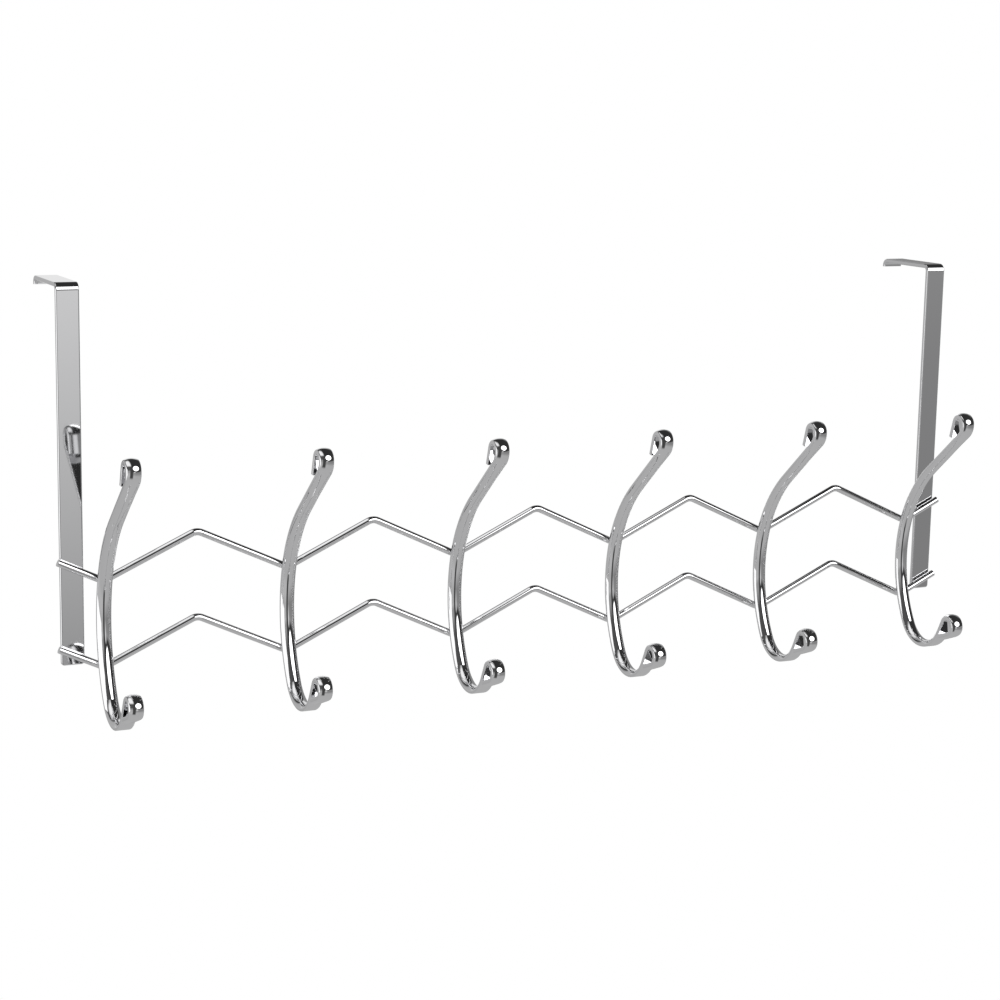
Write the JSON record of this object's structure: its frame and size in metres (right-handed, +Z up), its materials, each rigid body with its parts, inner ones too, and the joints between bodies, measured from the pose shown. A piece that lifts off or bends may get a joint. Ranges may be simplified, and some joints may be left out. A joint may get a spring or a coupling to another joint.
{
  "type": "over door hook rack",
  "caption": "Chrome over-the-door hook rack: flat door straps carry zigzag wires, and double hooks with rolled tips are welded across them.",
  "frame": {"origin": "midway between the straps, where the door's top edge meets its front face", "axes": "+X along the door's width, +Y into the door, +Z up; the hooks stand out towards -Y"},
  "size_m": [0.4988, 0.1011, 0.2072],
  "materials": {
    "chrome_steel": "polished chrome plate on steel"
  },
  "bodies": {
    "root": {"left_door_strap": "chrome_steel", "right_door_strap": "chrome_steel", "upper_zigzag_wire": "chrome_steel", "lower_zigzag_wire": "chrome_steel", "hook_1": "chrome_steel", "hook_2": "chrome_steel", "hook_3": "chrome_steel", "hook_4": "chrome_steel", "hook_5": "chrome_steel", "hook_6": "chrome_steel"}
  },
  "joints": []
}
